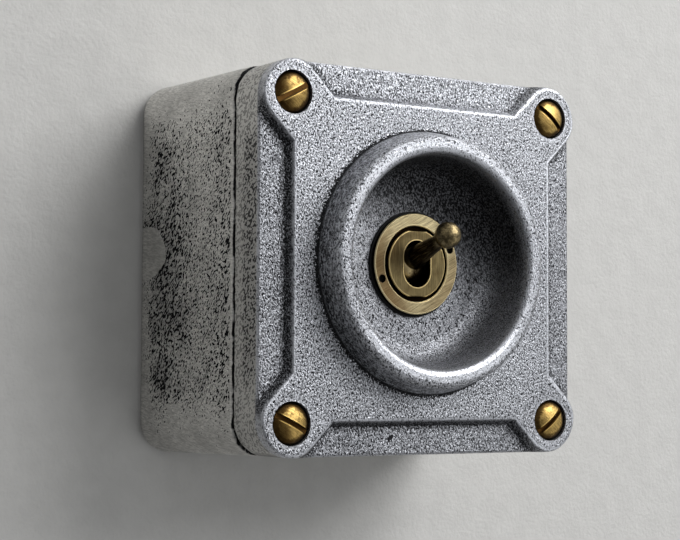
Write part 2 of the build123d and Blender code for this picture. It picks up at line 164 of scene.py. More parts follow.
class CastingSettings(bpy.types.PropertyGroup):
    """Colours and grain of the two castings."""

    cover_colour: FloatVectorProperty(
        name="Cover", description="Clean metal of the cover", subtype="COLOR", default=(0.452, 0.462, 0.492))
    box_colour: FloatVectorProperty(
        name="Box", description="Brushed metal of the box", subtype="COLOR", default=(0.56, 0.55, 0.525))
    # Soot colour: dark oxide in the pits, and also painted shade in corners, creases, gaps and the bowl
    soot_and_shade_colour: FloatVectorProperty(
        name="Soot", description="Dark oxide in pits and corners", subtype="COLOR",
        default=(0.010, 0.010, 0.011))
    grain_size: FloatProperty(
        name="Grain", description="Width of one casting grain in mm", default=0.29, min=0.1)
    grain_depth: FloatProperty(
        name="Grain depth", description="Depth of the casting grain in mm", default=0.24, min=0.0)
    pit_size: FloatProperty(
        name="Pit", description="Length of one casting pit in mm", default=0.50, min=0.1)
    pit_depth: FloatProperty(
        name="Pit depth", description="Depth of a casting pit in mm", default=0.12, min=0.0)


class BrassSettings(bpy.types.PropertyGroup):
    """Colours of the brass pieces."""

    nut_colour: FloatVectorProperty(
        name="Nut", description="Brushed ring nut", subtype="COLOR", default=(0.44, 0.37, 0.215))
    bush_colour: FloatVectorProperty(
        name="Bush", description="Brushed bush", subtype="COLOR", default=(0.190, 0.147, 0.070))
    lever_colour: FloatVectorProperty(
        name="Lever", description="Handled ball of the lever", subtype="COLOR", default=(0.32, 0.25, 0.13))
    screw_colour: FloatVectorProperty(
        name="Screw", description="Cover screws", subtype="COLOR", default=(0.46, 0.315, 0.105))
    patina_colour: FloatVectorProperty(
        name="Patina", description="Brown patina on brass", subtype="COLOR", default=(0.045, 0.022, 0.006))


class ScrewSettings(bpy.types.PropertyGroup):
    """Sizes of the cover screws."""

    head_radius: FloatProperty(
        name="Head radius", description="Radius of a screw head", unit="LENGTH",
        default=(SCREWS_HIGH.x - SCREW_HALF) / MM)
    head_height: FloatProperty(
        name="Head height", description="Height of a screw head with its dome", unit="LENGTH",
        default=SCREW_HEAD_TOTAL / MM)
    slot_width: FloatProperty(
        name="Slot width", description="Width of the driver slot", unit="LENGTH", default=0.0012)
    slot_depth: FloatProperty(
        name="Slot depth", description="Depth of the driver slot", unit="LENGTH", default=0.0015)
    shank_radius: FloatProperty(
        name="Shank radius", description="Radius over the thread", unit="LENGTH", default=0.00245)
    thread_pitch: FloatProperty(
        name="Pitch", description="Pitch of the screw thread", unit="LENGTH", default=0.0008)
    slot_turns: FloatVectorProperty(
        name="Slot turns", description="Turn of each slot: bottom left, top left, bottom right, top right",
        size=4, unit="ROTATION", default=[radians(turn) for turn in (-26.5, 28.0, 40.0, -39.0)])


class EntrySettings(bpy.types.PropertyGroup):
    """Thread in the conduit entry."""

    core_radius: FloatProperty(
        name="Core radius", description="Radius of the bore", unit="LENGTH", default=0.0092)
    thread_pitch: FloatProperty(
        name="Pitch", description="Pitch of the conduit thread", unit="LENGTH", default=0.0015)
    crest: FloatProperty(
        name="Crest", description="How far the thread stands in from the bore", unit="LENGTH", default=0.0004)
    length: FloatProperty(
        name="Length", description="Length of the thread", unit="LENGTH", default=0.0112)


class StageSettings(bpy.types.PropertyGroup):
    """Wall, lamps, room light and camera."""

    wall_colour: FloatVectorProperty(
        name="Wall", description="Painted wall", subtype="COLOR", default=(0.62, 0.612, 0.592))
    key_power: FloatProperty(
        name="Key", description="Power of the main lamp in watts", default=12.2, min=0.0)
    top_power: FloatProperty(
        name="Top", description="Power of the lamp above in watts", default=2.2, min=0.0)
    sheen_power: FloatProperty(
        name="Sheen", description="Power of the small lamp on the right in watts", default=1.0, min=0.0)
    fill_power: FloatProperty(
        name="Fill", description="Power of the fill lamp on the left in watts", default=0.45, min=0.0)
    low_power: FloatProperty(
        name="Low", description="Power of the lamp below in watts", default=1.7, min=0.0)
    dark_side: FloatProperty(
        name="Dark side", description="Room light from below on the left", default=0.052, min=0.0)
    bright_side: FloatProperty(
        name="Bright side", description="Room light from above on the right", default=0.46, min=0.0)
    rear: FloatProperty(
        name="Rear", description="Room light behind the wall", default=0.42, min=0.0)
    backdrop: FloatProperty(
        name="Backdrop", description="Level of the room as seen", default=0.60, min=0.0)
    lens: FloatProperty(
        name="Lens", description="Focal length of the camera", unit="CAMERA", default=94.48)


class Field:
    """A number that varies over a form; its arithmetic adds nodes to its tree."""

    def __init__(self, owner, socket):
        self.owner = owner
        self.socket = socket

    def __add__(self, other):
        return self.owner.calc("ADD", self, other)

    def __sub__(self, other):
        return self.owner.calc("SUBTRACT", self, other)

    def __rsub__(self, other):
        return self.owner.calc("SUBTRACT", other, self)

    def __mul__(self, other):
        return self.owner.calc("MULTIPLY", self, other)

    def __abs__(self):
        return self.owner.calc("ABSOLUTE", self)

    __radd__ = __add__
    __rmul__ = __mul__

    def least(self, other):
        """The smaller of two fields."""
        return self.owner.calc("MINIMUM", self, other)

    def most(self, other):
        """The larger of two fields."""
        return self.owner.calc("MAXIMUM", self, other)

    def rise(self, low, high):
        """0 up to low, 1 from high, with a smooth step between."""
        return self.owner.step(self, low, high)

    def fall(self, low, high):
        """1 up to low, 0 from high, with a smooth step between."""
        return 1.0 - self.rise(low, high)

    def band(self, low, high, soft):
        """1 from low to high, fading out over soft on both sides."""
        return self.rise(low - soft, low) * self.fall(high, high + soft)


class Tree:
    """A node tree built with short calls."""

    def __init__(self, tree):
        self.tree = tree

    def add(self, kind, values=None, **settings):
        """A new node with its settings, and values for its inputs."""
        node = self.tree.nodes.new(kind)
        for name, value in settings.items():
            setattr(node, name, value)
        for name, value in (values or {}).items():
            self.feed(node.inputs[name], value)
        return node

    def feed(self, socket, value):
        """Give a socket a field, another socket or a plain value."""
        if isinstance(value, Field):
            value = value.socket
        if isinstance(value, bpy.types.NodeSocket):
            self.tree.links.new(value, socket)
        else:
            socket.default_value = value

    def calc(self, operation, *values):
        """A field from a math node."""
        node = self.add("ShaderNodeMath", dict(enumerate(values)), operation=operation)
        return Field(self, node.outputs[0])

    def step(self, value, low, high):
        """A field that goes smoothly from 0 at low to 1 at high."""
        values = {"Value": value, "From Min": low, "From Max": high}
        return Field(self, self.add("ShaderNodeMapRange", values, interpolation_type="SMOOTHSTEP").outputs[0])

    def vector(self, x, y, z):
        """A vector from three numbers or fields."""
        return self.add("ShaderNodeCombineXYZ", {"X": x, "Y": y, "Z": z}).outputs[0]

    def split(self, vector):
        """The three fields of a vector."""
        return [Field(self, socket) for socket in self.add("ShaderNodeSeparateXYZ", {0: vector}).outputs]


class Finish(Tree):
    """A material on the Principled shader, built from fields in millimetres."""

    def __init__(self, name):
        self.material = bpy.data.materials.new(name)
        self.material.use_nodes = True
        super().__init__(self.material.node_tree)
        self.tree.nodes.clear()
        self.shader = self.add("ShaderNodeBsdfPrincipled")
        self.output = self.add("ShaderNodeOutputMaterial", {"Surface": self.shader.outputs["BSDF"]})
        self.coordinates = self.add("ShaderNodeTexCoord").outputs["Object"]

    def place(self, size=(1.0, 1.0, 1.0), turn_deg=(0.0, 0.0, 0.0)):
        """The surface's place in steps of size millimetres, in a turned frame."""
        values = {"Vector": self.coordinates, "Scale": [step / MM for step in size],
                  "Rotation": [radians(angle) for angle in turn_deg]}
        return self.add("ShaderNodeMapping", values, vector_type="TEXTURE").outputs["Vector"]

    def axes(self):
        """Fields x, height and z in millimetres."""
        x, y, z = self.split(self.place())
        return x, y * -1.0, z

    def length(self, first, second):
        """Length of a flat vector."""
        return self.calc("SQRT", first * first + second * second)

    def noise(self, size, turn_deg=(0.0, 0.0, 0.0), **settings):
        """Cloudy field about 0.5 with grains of size millimetres."""
        steps = size if isinstance(size, tuple) else (size,) * 3
        return self.noise_at(self.place(steps, turn_deg), **settings)

    def noise_at(self, vector, detail=2.0, rough=0.5, warp=0.0):
        """Cloudy field about 0.5 with grains one step wide."""
        values = {"Vector": vector, "Scale": 1.0, "Detail": detail, "Roughness": rough, "Distortion": warp}
        return Field(self, self.add("ShaderNodeTexNoise", values).outputs[0])

    def attribute(self, name):
        """A field stored on the piece's own mesh."""
        return Field(self, self.add("ShaderNodeAttribute", attribute_name=name).outputs["Fac"])

    def blend(self, share, first, second):
        """A colour that goes from first to second."""
        node = self.add("ShaderNodeMix", {"Factor": share}, data_type="RGBA")
        colours = [socket for socket in node.inputs if socket.type == "RGBA"]
        for socket, colour in zip(colours, (first, second)):
            self.feed(socket, colour if isinstance(colour, bpy.types.NodeSocket) else (*colour, 1.0))
        return next(socket for socket in node.outputs if socket.type == "RGBA")

    def bump(self, height):
        """Tilt the surface by a field of heights in millimetres."""
        node = self.add("ShaderNodeBump", {"Distance": 1.0 / MM, "Height": height})
        self.feed(self.shader.inputs["Normal"], node.outputs["Normal"])

    def set(self, **values):
        """Set the shader's sockets, named in lower case with underscores."""
        for name, value in values.items():
            self.feed(self.shader.inputs[name.replace("_", " ").title().replace("Ior", "IOR")], value)
        return self.material


def paint(material, *nodes):
    """Give CAD nodes a finish."""
    for name in nodes:
        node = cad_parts[name]
        if not node.material_slots:
            node.data.materials.append(material)
        for slot in node.material_slots:
            slot.material = material


def scaled(colour, share):
    """A colour made lighter or darker."""
    return tuple(channel * share for channel in colour)


def cover_places(finish):
    """Where a point lies on the cover: millimetres from its forms, and shares of its sides."""
    x, height, z = finish.axes()
    across, up = abs(x), abs(z)
    radius = finish.length(x, z)
    diagonal = abs(across - up) * (1 / ROOT_TWO)
    along = (across + up) * (1 / ROOT_TWO)
    boss = finish.length(across - SCREW_HALF, up - SCREW_HALF)
    arm = (diagonal - BOSS_RADIUS).most(along - SCREW_HALF * ROOT_TWO)
    corner = COVER_HALF - CORNER_RADIUS
    outline = finish.length((across - corner).most(0.0), (up - corner).most(0.0)) - CORNER_RADIUS
    on_front = (outline + 0.5).fall(0.1, 0.4).most(height.rise(FACE_HEIGHT - 3.2, FACE_HEIGHT - 2.4))
    ring_wall = height.rise(FACE_HEIGHT + 0.3, FACE_HEIGHT + 1.2)
    return SimpleNamespace(
        x=x, height=height, z=z, up=up, along=along, radius=radius, boss=boss, outline=outline,
        raised=(across.most(up) - PANEL_HALF).least(arm).least(boss - BOSS_RADIUS),
        on_front=on_front,
        on_side=1.0 - on_front,
        in_bowl=radius.fall(BOWL_MOUTH_RADIUS - 0.6, BOWL_MOUTH_RADIUS + 0.6),
        ring_wall=ring_wall * radius.rise(CREST_OUTER_RADIUS - 1.4, CREST_OUTER_RADIUS - 0.2),
        past_ring=radius.rise(RING_BASE_RADIUS, RING_BASE_RADIUS + 1.0),
        # Share towards the right edge: it brightens the panel's right rim as a painted highlight and darkens
        # the step beyond it as painted shade
        right_edge=x.rise(20.0, 34.0),
        # Painted shade: share that grows towards the lower left, where the slopes face away from the lamps
        painted_shade_lower_left=(x * -0.85 + z * -0.6).rise(-34.0, 18.0))


def cover_texture(finish, settings, at):
    """Grain, pits, patches and turning marks of the cover."""
    pit, fine = settings.pit_size, settings.grain_size
    face_dots = finish.noise((pit * 0.65, pit * 0.65, pit), GRAIN_LEAN, detail=0.0, warp=0.3)
    side_dots = finish.noise((0.48, 0.66, 0.46), turn_deg=(-38.0, 0.0, 0.0), detail=0.5)
    grain = finish.noise((fine * 0.8, fine * 0.8, fine * 1.2), GRAIN_LEAN, detail=1.0, warp=0.4)
    grain = grain * 0.75 + face_dots * 0.25
    ragged = finish.noise(7.0, detail=4.0) - 0.5
    side_pits = (at.height + ragged * 3.0).rise(SEAM_HEIGHT + 2.8, SEAM_HEIGHT + 4.2)
    angle = finish.calc("ARCTAN2", at.z, at.x)
    turning = finish.vector(angle * 22.0, at.radius * 1.9, at.height * 1.9)
    return SimpleNamespace(
        face_dots=face_dots, grain=grain,
        dots=face_dots * at.on_front + side_dots * at.on_side,
        speckled=(grain - 0.5) * 3.0,
        wander=finish.noise(1.6, detail=3.0) - 0.5,
        patches=finish.noise(14.0, detail=2.0) - 0.5,
        coarse=finish.noise(2.1, detail=2.0),
        turning=finish.noise_at(turning, detail=2.0, rough=0.6),
        side_pits=side_pits * (at.along + ragged * 4.0).fall(48.0, 52.0))


def cover_polish_and_highlight(at, cast):
    """Share of polished metal and painted highlight: bowl lip, brightest at its top and bottom, ring, panel
    edges, brightest on the right, boss tops, border and sides.
    """
    lip = (at.radius + cast.wander * 0.8).band(BOWL_MOUTH_RADIUS + 0.1, BOWL_MOUTH_RADIUS + 2.0, 1.0)
    lip = lip * at.height.rise(CREST_HEIGHT - 3.0, CREST_HEIGHT - 1.0)
    # Painted highlight: the lip is made brighter at its top and bottom
    lip = lip * (at.up.rise(9.0, 21.0) * 0.42 + at.z.fall(-22.0, -12.0) * 0.25 + 0.28)
    rim = abs(at.raised + at.right_edge * 0.25 + 0.1 + cast.wander * 0.5).fall(0.1, 0.55)
    # Painted highlight: the rim is made brighter on the right
    rim = rim * at.past_ring * (at.right_edge * 0.36 + 0.62)
    boss_top = abs(at.boss - COUNTERBORE_RADIUS - 0.4 + cast.wander * 0.8).fall(0.1, 0.8)
    border = (at.outline + cast.wander * 0.6).rise(-0.5, -0.2) * at.on_front
    front = lip.most(at.ring_wall * 0.25).most(rim).most(boss_top * 0.35) * at.on_front
    return front.most(border * 0.8).most(at.on_side * (1.0 - cast.side_pits * 0.85))


def front_painted_shade(at, cast):
    """Share of painted shade on the slopes, at the foot of the ring and on the ring's outer wall."""
    wander, speckled = cast.wander, cast.speckled
    # Painted shade on the slopes, heaviest on the lower left, and in a band along the foot of each slope,
    # heavier along the top and right steps
    slope = (at.raised + wander * 0.5 + speckled * 0.5).band(0.5, STEP_RUN + 0.1, 0.35) * at.on_front
    dust = (at.raised + wander * 1.4 + speckled).band(0.5, STEP_RUN + 0.7, 0.9) * at.on_front
    upper_right_shade = cast.patches.rise(-0.05, 0.12) * at.z.rise(20.0, 36.0) * 0.45 + at.right_edge * 0.30
    slope = (slope * (at.painted_shade_lower_left * 0.75 + 0.20)).most(dust * (at.painted_shade_lower_left * 0.35 + upper_right_shade + 0.15))
    slope = slope * (cast.grain.fall(0.46, 0.62) * 0.5 + 0.5)
    # Painted shade along the foot of the ring
    foot = (at.radius - RING_BASE_RADIUS + speckled + wander * 0.6).band(-0.3, 0.35, 0.45)
    foot = foot * at.height.fall(FACE_HEIGHT + 0.5, FACE_HEIGHT + 1.3)
    # Painted shade on the ring's outer wall, heaviest on the left and near its foot
    wall = at.ring_wall * (at.x * -0.9 + at.z * -0.35).rise(4.0, 27.0)
    wall = wall * (at.height + speckled * 1.6 + wander * 2.0).fall(FACE_HEIGHT + 0.8, FACE_HEIGHT + 6.2)
    wall = wall * (cast.turning.fall(0.43, 0.57) * 0.38 + cast.face_dots.fall(0.42, 0.58) * 0.46 + 0.15)
    return slope.most(foot * 0.95).most(wall)


def bowl_painted_shade(at, cast):
    """Share of painted shade in the bowl: on its wall, over its upper right and round the washer."""
    # Painted shade on the bowl's wall, heavier towards the top
    wall = at.in_bowl * at.height.band(FACE_HEIGHT - 4.5, CREST_HEIGHT - 3.0, 1.6)
    wall = wall * (at.z.rise(-16.0, 4.0) * 0.36 + 0.30)
    # Painted shadow of the ring over the upper right of the bowl
    shade = at.in_bowl * at.height.fall(CREST_HEIGHT - 4.0, CREST_HEIGHT - 1.5)
    shade = shade * ((at.x * 0.5 + at.z + cast.wander * 4.0).rise(-8.0, 18.0) * 0.84)
    shade = shade * (cast.face_dots.fall(0.42, 0.60) * 0.32 + 0.85)
    # Painted shade in the crease round the washer
    washer_edge = (at.radius + cast.wander * 0.6).fall(WASHER_RADIUS, WASHER_RADIUS + 0.5)
    return wall.most(shade).most(washer_edge * 0.7)


def edge_shade_and_flaw(finish, at, cast):
    """Share of painted shade in the bores, along the seam, under the cover and beside the bosses, and the
    dark of one long flaw.
    """
    wander = cast.wander
    # Painted shade in the counterbores, along the seam, on the underside and beside the bosses
    bores = at.boss.fall(COUNTERBORE_RADIUS - 0.05, COUNTERBORE_RADIUS + 0.15)
    bores = bores * at.height.fall(FACE_HEIGHT - 1.0, FACE_HEIGHT - 0.55)
    seam = (at.height + wander * 1.1).fall(SEAM_HEIGHT + 0.05, SEAM_HEIGHT + 0.25)
    under = at.on_side * (at.z + wander * 0.8).fall(0.4 - COVER_HALF, 1.2 - COVER_HALF)
    boss_line = at.on_side * (at.height + wander * 0.5).band(FACE_HEIGHT - 1.5, FACE_HEIGHT - 0.9, 0.3)
    boss_line = boss_line * at.boss.fall(BOSS_RADIUS + 1.2, BOSS_RADIUS + 2.4) * 0.75
    aside, above = at.x - FLAW_PLACE[0], at.z - FLAW_PLACE[1]
    flaw = finish.length((aside * 0.75 + above * 0.66) * 0.40, above * 0.75 - aside * 0.66)
    flaw = (flaw + cast.speckled * 0.3).fall(0.40, 0.55) * at.on_front
    return bores.most(seam).most(under * 0.6).most(boss_line).most(flaw * 0.95)


def cast_cover_finish(settings):
    """Pitted silver casting with polished rims, painted highlights on its lip and right rim, and painted
    shade in its corners, on its lower left and in its bowl.
    """
    finish = Finish("cast_cover")
    at = cover_places(finish)
    cast = cover_texture(finish, settings, at)
    polish_and_highlight = cover_polish_and_highlight(at, cast)
    open_grain = 1.0 - polish_and_highlight
    # Pit threshold: more pits on the sides, fewer in the bowl, and a few more towards the lower left as
    # painted shade
    line = at.painted_shade_lower_left * 0.03 + cast.patches * 0.08 + at.on_side * 0.090 - at.in_bowl * 0.055 + 0.356
    pits = cast.dots.fall(line - 0.018, line) * (1.0 - polish_and_highlight * 0.45)
    # soot: dark of the pits and the flaw, with painted shade from the slopes, ring, bowl, bores, seam and
    # underside
    soot = front_painted_shade(at, cast).most(bowl_painted_shade(at, cast)).most(edge_shade_and_flaw(finish, at, cast)).most(pits * 0.94)

    metal = settings.cover_colour
    white = cast.grain.rise(0.40, 0.58) * open_grain
    dusted = finish.blend(white, scaled(metal, 0.40), scaled(metal, 1.24))
    glint = (cast.grain + cast.patches * 0.05).rise(0.57, 0.66) * open_grain * (1.0 - at.in_bowl * 0.4)
    clean = finish.blend(glint, dusted, scaled(metal, 2.10))
    # Polished metal on the rims and lip; where the lip and right rim are brightest it is a painted highlight
    wear_and_painted_light = finish.blend(polish_and_highlight * 0.9, clean, scaled(metal, 1.80))
    turned = finish.blend(cast.turning.rise(0.43, 0.58), scaled(metal, 0.25), scaled(metal, 1.60))
    ringed = finish.blend(at.ring_wall * 0.50, wear_and_painted_light, turned)
    side = finish.blend(at.on_side, ringed, settings.box_colour)
    # Random dull patches and the haze of the side pits are the metal's own tone; the recesses round the panel
    # and the bottom of the bowl are darkened as painted shade, and the top is kept lighter as painted light
    recess = at.raised.rise(0.3, 1.0) * at.past_ring * at.on_front
    dull_and_painted_shade = (cast.patches + 0.5).rise(0.30, 0.70) * 0.14 + recess * 0.22
    dull_and_painted_shade = (dull_and_painted_shade + at.in_bowl * at.z.fall(-20.0, -6.0) * 0.16) * (1.0 - at.z.rise(18.0, 36.0) * 0.9)
    dull_and_painted_shade = dull_and_painted_shade.most(at.on_side * cast.side_pits * 0.25)
    dulled_and_shaded = finish.blend(dull_and_painted_shade, side, scaled(settings.soot_and_shade_colour, 5.0))
    colour = finish.blend(soot, dulled_and_shaded, settings.soot_and_shade_colour)

    depth = (0.30 + open_grain * 0.70) * settings.grain_depth
    marks = cast.coarse * 0.05 + cast.turning * at.ring_wall * 0.08
    finish.bump(cast.grain * depth + marks - pits * settings.pit_depth)
    top_side = at.on_side * at.z.rise(COVER_HALF - 0.9, COVER_HALF - 0.3)
    roughness = 0.36 + open_grain * 0.10 + soot * 0.26 + top_side * 0.26
    return finish.set(base_color=colour, metallic=0.92, roughness=roughness)


def box_soot(finish, x, height, z):
    """Where soot pits lie on the sides of the box, how densely, and how they cluster."""
    inner = abs(x).least(abs(z))
    torn = (finish.noise(8.0, detail=5.0, rough=0.62) - 0.5) * 16.0
    cluster = finish.noise((2.4, 2.0, 5.0), turn_deg=(25.0, 0.0, 0.0), detail=3.0, rough=0.6) - 0.5
    wide = finish.noise(18.0, detail=2.0) - 0.5
    bare_height, bare_z = BARE_PATCH
    bare = finish.length((height - bare_height) * 0.54, z - bare_z) + torn * 0.16
    field = (inner + torn * 0.9).fall(37.0, 42.0) * (height + torn * 0.1).fall(42.9, 43.7)
    field = field * bare.rise(6.6, 7.0).most(x.rise(0.0, 1.0))
    load = (bare + cluster * 3.0).band(6.8, 8.4, 0.8) * 1.1
    for spot_height, spot_z, squash_height, squash_z, near, far, strength in SOOT_SPOTS:
        reach = finish.length((height - spot_height) * squash_height, (z - spot_z) * squash_z)
        load = load.most(reach.fall(near, far) * strength)
    sooty = x.fall(-42.8, -41.5)
    density = 0.28 + sooty * 0.14 + load * (sooty * 0.32 + 0.10) + height.rise(28.0, 42.0) * 0.10
    thin = (inner + torn * 0.9).rise(29.0, 41.0) + (height + torn * 0.9).fall(2.0, 8.0)
    return field, density + cluster * 1.2 + wide * 0.5 - thin * 0.95, cluster


def cast_box_finish(settings):
    """Satin warm grey casting with soot pits in the middle of its sides, painted highlights round the pits,
    and painted shade in the seam and along the wall.
    """
    finish = Finish("cast_box")
    x, height, z = finish.axes()
    field, density, cluster = box_soot(finish, x, height, z)
    specks = finish.noise((0.46, 0.86, 0.38), turn_deg=(-46.0, 0.0, 0.0), detail=0.6, rough=0.5)
    line = 0.640 - density * 0.19
    pits = specks.rise(line, line + 0.018) * field.rise(0.3, 0.5)
    # Painted highlight on the rims round the pits
    pit_rim_highlight = specks.band(line - 0.05, line - 0.01, 0.02) * field
    satin = finish.noise((1.6, 1.6, 0.30), turn_deg=(8.0, 0.0, 0.0), detail=4.0, rough=0.65)
    stains = finish.noise(9.0, detail=4.0)

    metal = settings.box_colour
    brushed = finish.blend(satin.rise(0.38, 0.62), scaled(metal, 0.82), scaled(metal, 1.28))
    bright = finish.blend(pit_rim_highlight * 0.60, brushed, scaled(metal, 1.9))
    stained = finish.blend(stains.rise(0.40, 0.75) * 0.35, bright, scaled(metal, 0.45))
    haze = field * density.rise(0.4, 1.0) * 0.35
    smoked = finish.blend(haze, stained, scaled(settings.soot_and_shade_colour, 4.0))
    # Painted shade: the box's rim face blackened in the seam under the cover
    rim = (height + cluster * 1.4).rise(BOX_RIM_HEIGHT - 0.25, BOX_RIM_HEIGHT - 0.05)
    # Painted shade where the box meets the wall
    foot = height.fall(0.3, 3.0) * height.rise(0.0, 0.1)
    foot = foot * abs(x).most(abs(z)).rise(COVER_HALF - 2.0, COVER_HALF + 0.5)
    colour = finish.blend(pits.most(foot * 0.85).most(rim), smoked, settings.soot_and_shade_colour)

    sunk = specks.rise(line - 0.04, line + 0.05) * field
    finish.bump(satin * 0.015 + cluster * 0.04 - sunk * settings.pit_depth)
    top_side = z.rise(COVER_HALF - 0.6, COVER_HALF)
    roughness = 0.43 + pits * 0.4 + satin * 0.06 + top_side * 0.26
    return finish.set(base_color=colour, metallic=0.9, roughness=roughness)


def brushed_brass_finish(name, colour, patina, stroke_turn_deg, dark_share):
    """Brushed antique brass; the strokes lie in the front plane at one angle."""
    finish = Finish(name)
    strokes = finish.noise((6.0, 0.5, 0.14), turn_deg=(0.0, stroke_turn_deg, 0.0), detail=3.0, rough=0.7)
    fine = finish.noise((4.0, 0.4, 0.06), turn_deg=(0.0, stroke_turn_deg + 4.0, 0.0), detail=2.0)
    cloud = finish.noise(2.4, detail=3.0)
    lines = strokes * 0.7 + fine * 0.3
    metal = finish.blend(lines.rise(0.36, 0.64), scaled(colour, 0.45), scaled(colour, 1.35))
    aged = finish.blend(cloud.rise(0.42, 0.78) * dark_share, metal, patina)
    finish.bump(lines * 0.06)
    return finish, aged, lines


def ring_nut_finish(settings):
    """Brushed nut with painted highlights on its bevels, painted shade on its left and right, black peg holes
    and dark sides.
    """
    brass, patina = settings.nut_colour, settings.patina_colour
    finish, colour, lines = brushed_brass_finish(
        "ring_nut", brass, patina, stroke_turn_deg=-28.0, dark_share=0.30)
    x, height, z = finish.axes()
    radius = finish.length(x, z)
    # Painted shade: the nut darker on its left and on its right, where the brushed brass turns away from the
    # lamps
    shaded = (x * 0.9 + z * 0.35).fall(-9.0, -2.0)
    shaded = (shaded * 0.76).most((x - z * 0.6).rise(3.0, 12.0) * 0.44)
    with_painted_shade = finish.blend(shaded, colour, scaled(patina, 2.0))
    # Painted highlight on the outer and inner bevels
    bevel_highlight = radius.rise(NUT_RADIUS - 0.35, NUT_RADIUS - 0.15)
    bevel_highlight = bevel_highlight.most(radius.fall(NUT_BORE_RADIUS + 0.15, NUT_BORE_RADIUS + 0.35))
    bevels_highlighted = finish.blend(bevel_highlight, with_painted_shade, scaled(brass, 2.1))
    sunk = height.fall(NUT_FACE_HEIGHT - 0.45, NUT_FACE_HEIGHT - 0.25)
    dark = finish.blend(sunk, bevels_highlighted, scaled(patina, 0.15))
    return finish.set(base_color=dark, metallic=1.0, roughness=0.34 + lines * 0.16)


def bush_finish(settings):
    """Darker bush, brushed upright, with painted highlights on its edges, painted shade at its upper left,
    and black below its face.
    """
    brass, patina = settings.bush_colour, settings.patina_colour
    finish, colour, lines = brushed_brass_finish(
        "switch_bush", brass, patina, stroke_turn_deg=90.0, dark_share=0.45)
    x, height, z = finish.axes()
    radius = finish.length(x, z)
    slot_edge = finish.length(x, (abs(z) - SLOT_STRAIGHT_HALF).most(0.0)) - SLOT_HALF_WIDTH
    # Painted shadow of the lever over the upper left of the bush
    shaded = x.fall(-6.5, -3.0) * (z + 1.0).rise(-2.0, 4.0)
    with_painted_shade = finish.blend(shaded * 0.5, colour, scaled(patina, 1.5))
    # Painted highlight along the slot and the rim of the nose
    bevel_highlight = abs(slot_edge - 0.12).fall(0.06, 0.16).most(radius.rise(NOSE_RADIUS - 0.35, NOSE_RADIUS - 0.15))
    bevels_highlighted = finish.blend(bevel_highlight, with_painted_shade, scaled(brass, 3.4))
    sunk = height.fall(NUT_FACE_HEIGHT - 0.35, NUT_FACE_HEIGHT + 0.05)
    dark = finish.blend(sunk, bevels_highlighted, scaled(patina, 0.10))
    return finish.set(base_color=dark, metallic=1.0, roughness=0.34 + lines * 0.18)


def lever_finish(settings):
    """Handled brass ball on a shank that is almost black, with a painted highlight on the pivot in the slot.
    """
    finish = Finish("toggle_lever")
    brass, patina = settings.lever_colour, settings.patina_colour
    x, height, _ = finish.axes()
    handled = height.rise(BALL_BACK_HEIGHT - 0.5, BALL_BACK_HEIGHT + 1.6)
    blotch = finish.noise(1.1, detail=4.0, rough=0.65, warp=0.8)
    fleck = finish.noise(0.45, detail=2.0)
    grain = finish.noise((0.25, 3.0, 0.25), turn_deg=(-19.0, 0.0, 0.0), detail=3.0)
    ball = finish.blend(blotch.rise(0.36, 0.68), scaled(brass, 0.35), scaled(brass, 1.30))
    shank = finish.blend(grain.rise(0.46, 0.70), scaled(patina, 0.25), scaled(brass, 0.40))
    # Painted highlight on the left of the pivot, inside the slot
    pivot_highlight = height.fall(NUT_FACE_HEIGHT - 0.2, NUT_FACE_HEIGHT + 0.6) * x.fall(-1.8, 0.0)
    hub = finish.blend(pivot_highlight, shank, scaled(brass, 2.4))
    whole = finish.blend(handled, hub, ball)
    colour = finish.blend(fleck.rise(0.66, 0.72), whole, scaled(patina, 0.5))
    finish.bump(blotch * 0.10 + fleck * 0.03)
    return finish.set(base_color=colour, metallic=1.0, roughness=0.22 + blotch * 0.20)


